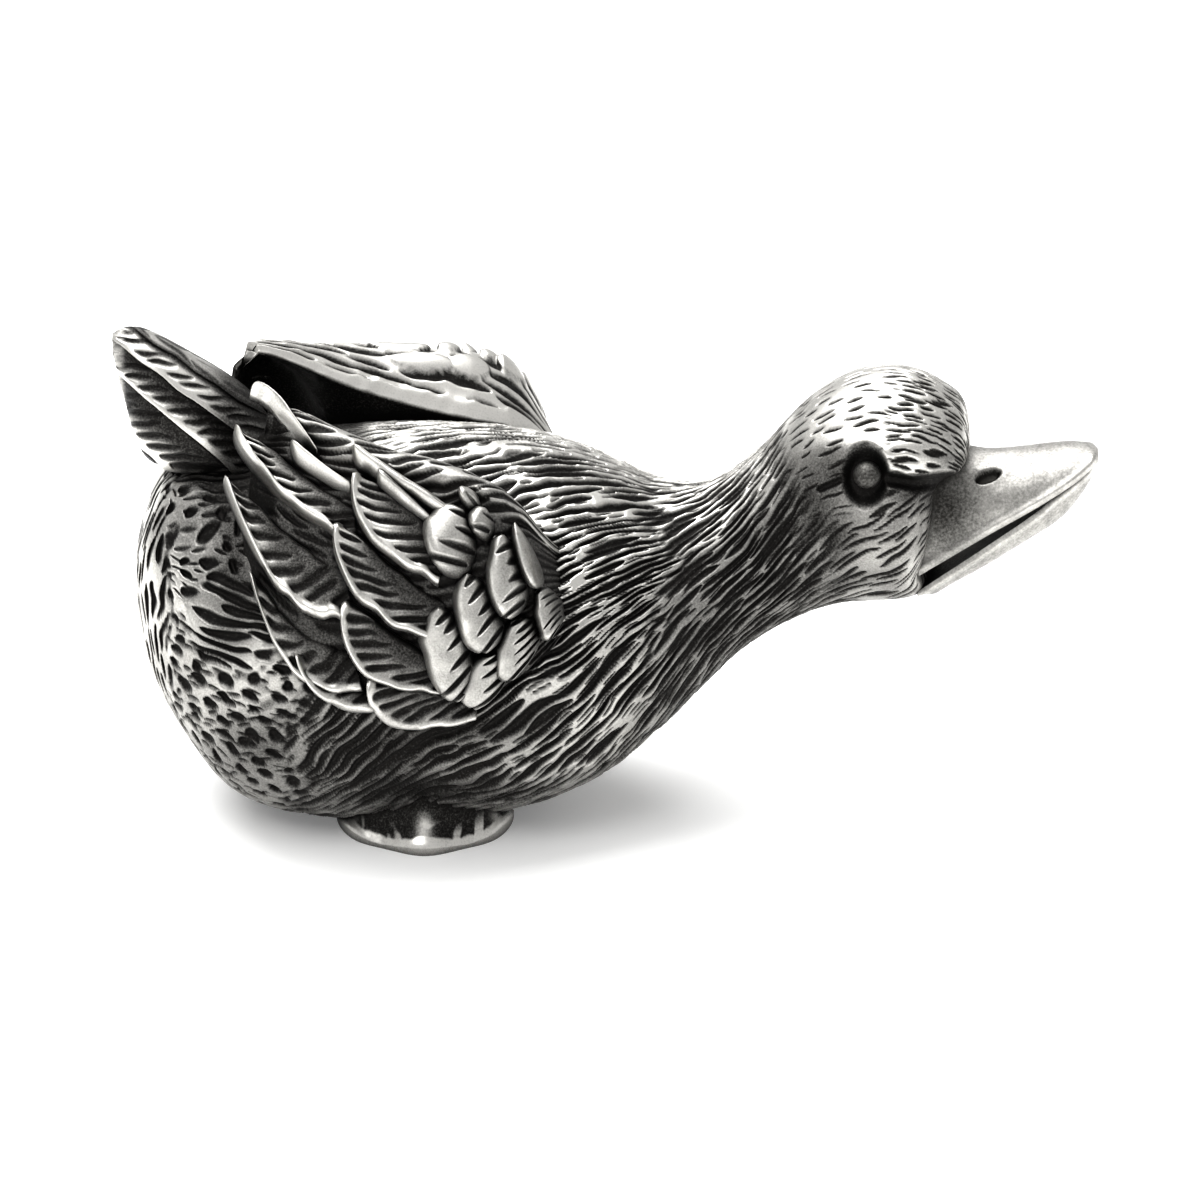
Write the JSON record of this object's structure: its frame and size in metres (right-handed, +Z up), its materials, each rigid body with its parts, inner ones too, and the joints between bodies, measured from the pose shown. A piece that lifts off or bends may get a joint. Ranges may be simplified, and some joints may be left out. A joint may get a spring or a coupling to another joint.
{
  "type": "duck figurine",
  "caption": "Small sitting duck figurine in antiqued cast pewter, with carved plumage, folded wings, an upturned tail and an open bill.",
  "frame": {"origin": "on the table, under the middle of the figurine's length and width", "axes": "+X towards the bill, +Y towards the duck's left, +Z up"},
  "size_m": [0.06, 0.028, 0.0313],
  "materials": {
    "antique_pewter": "cast pewter, blackened and rubbed back so the high places are bright",
    "rubbed_pewter": "cast pewter rubbed to a soft shine, with dark pits"
  },
  "bodies": {
    "root": {"body": "antique_pewter", "head": "antique_pewter", "upper_bill": "rubbed_pewter", "lower_bill": "rubbed_pewter", "tail": "antique_pewter", "right_eye": "rubbed_pewter", "right_wing": "antique_pewter", "right_foot": "antique_pewter", "left_eye": "rubbed_pewter", "left_wing": "antique_pewter", "left_foot": "antique_pewter"}
  },
  "joints": []
}
